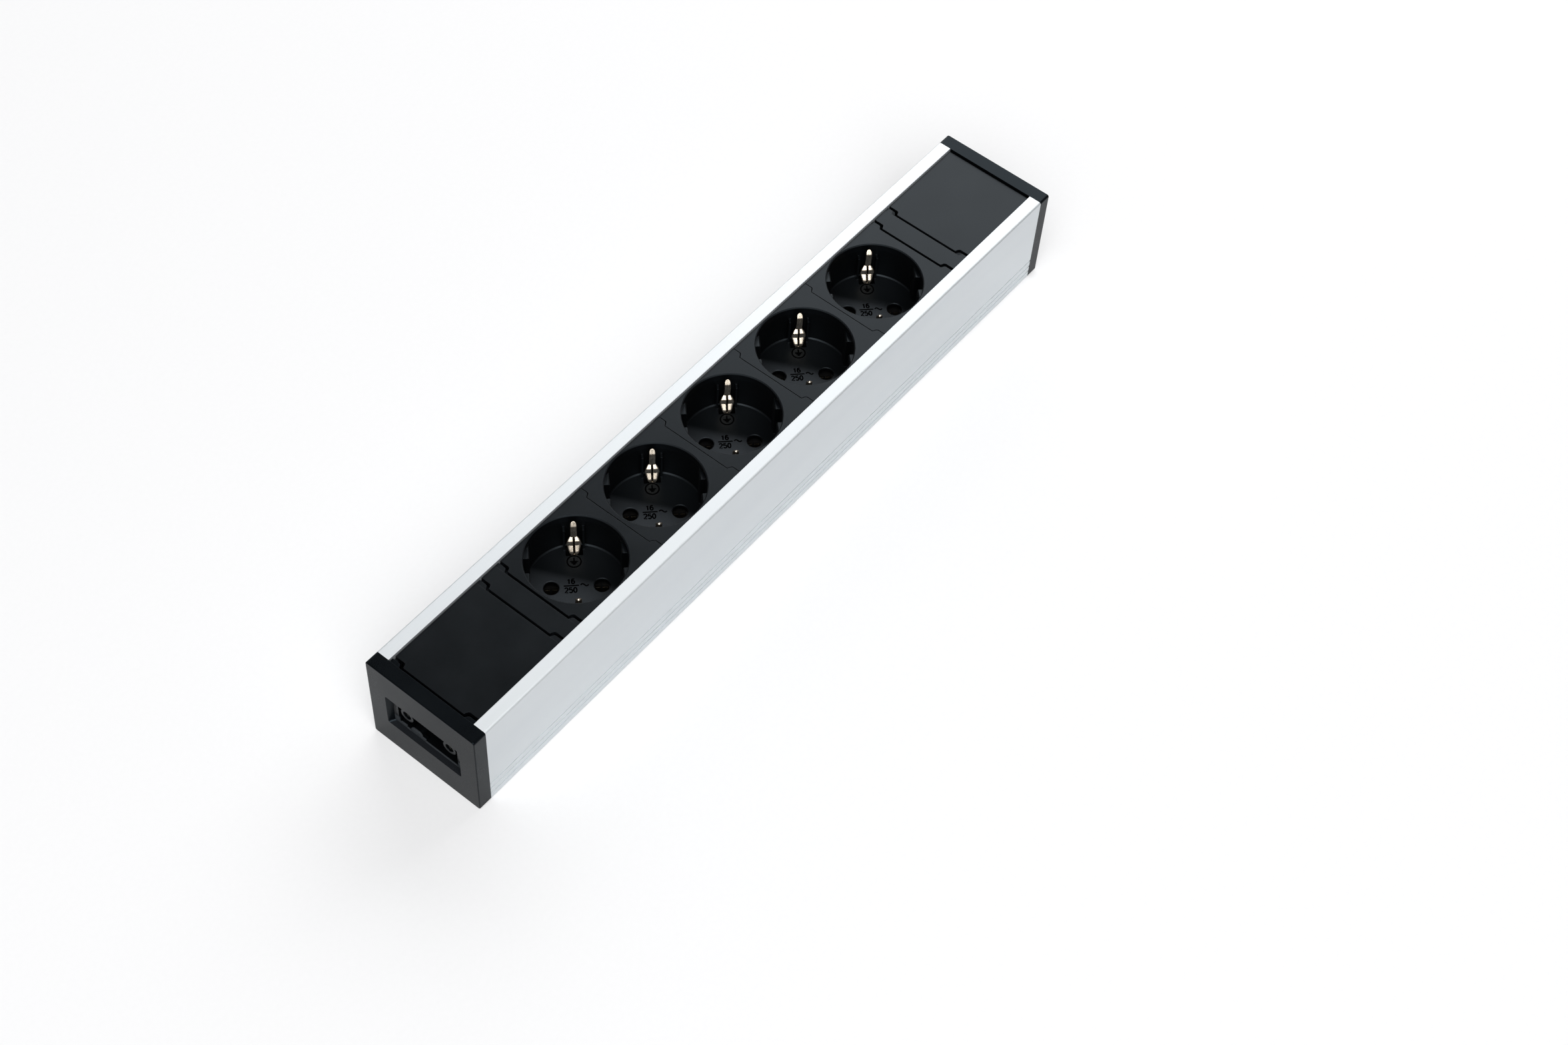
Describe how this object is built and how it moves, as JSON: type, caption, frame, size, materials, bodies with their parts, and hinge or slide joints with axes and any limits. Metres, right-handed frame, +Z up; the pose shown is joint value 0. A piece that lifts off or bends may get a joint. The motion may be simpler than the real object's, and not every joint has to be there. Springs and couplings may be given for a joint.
{
  "type": "multi-socket box",
  "caption": "Long aluminium strip with round earthed sockets turned on the diagonal, plain black panels, black end caps and a three-pole inlet.",
  "frame": {"origin": "middle of the underside", "axes": "+X along the strip from the inlet end to the blind end, +Z up out of the sockets"},
  "size_m": [0.347, 0.0524, 0.0458],
  "materials": {
    "anodised_aluminium": "satin",
    "black_plastic": "matte",
    "grey_plastic": "matte",
    "contact_brass": "satin",
    "plated_brass": "satin",
    "zinc_steel": "satin",
    "brown_insulation": "satin",
    "blue_insulation": "satin",
    "green_yellow_insulation": "satin"
  },
  "bodies": {
    "root": {"housing_profile": "anodised_aluminium", "end_cap_inlet": "black_plastic", "end_cap_blind": "black_plastic", "inlet_insert": "black_plastic", "blank_panel_near": "black_plastic", "blank_panel_far": "black_plastic", "spacer_near": "black_plastic", "spacer_far": "black_plastic", "insulating_tray": "grey_plastic", "busbar_live": "contact_brass", "busbar_neutral": "contact_brass", "busbar_earth": "contact_brass", "inlet_contact_live": "plated_brass", "inlet_contact_neutral": "plated_brass", "inlet_contact_earth": "plated_brass", "lead_live": "brown_insulation", "lead_neutral": "blue_insulation", "lead_earth": "green_yellow_insulation", "bonding_lead": "green_yellow_insulation", "bonding_tag": "plated_brass", "bonding_screw": "zinc_steel", "base_screws": "zinc_steel", "socket_1": "black_plastic", "socket_base_1": "grey_plastic", "earth_clip_1": "plated_brass", "live_contact_1": "contact_brass", "neutral_contact_1": "contact_brass", "socket_2": "black_plastic", "socket_base_2": "grey_plastic", "earth_clip_2": "plated_brass", "live_contact_2": "contact_brass", "neutral_contact_2": "contact_brass", "socket_3": "black_plastic", "socket_base_3": "grey_plastic", "earth_clip_3": "plated_brass", "live_contact_3": "contact_brass", "neutral_contact_3": "contact_brass", "socket_4": "black_plastic", "socket_base_4": "grey_plastic", "earth_clip_4": "plated_brass", "live_contact_4": "contact_brass", "neutral_contact_4": "contact_brass", "socket_5": "black_plastic", "socket_base_5": "grey_plastic", "earth_clip_5": "plated_brass", "live_contact_5": "contact_brass", "neutral_contact_5": "contact_brass"}
  },
  "joints": []
}
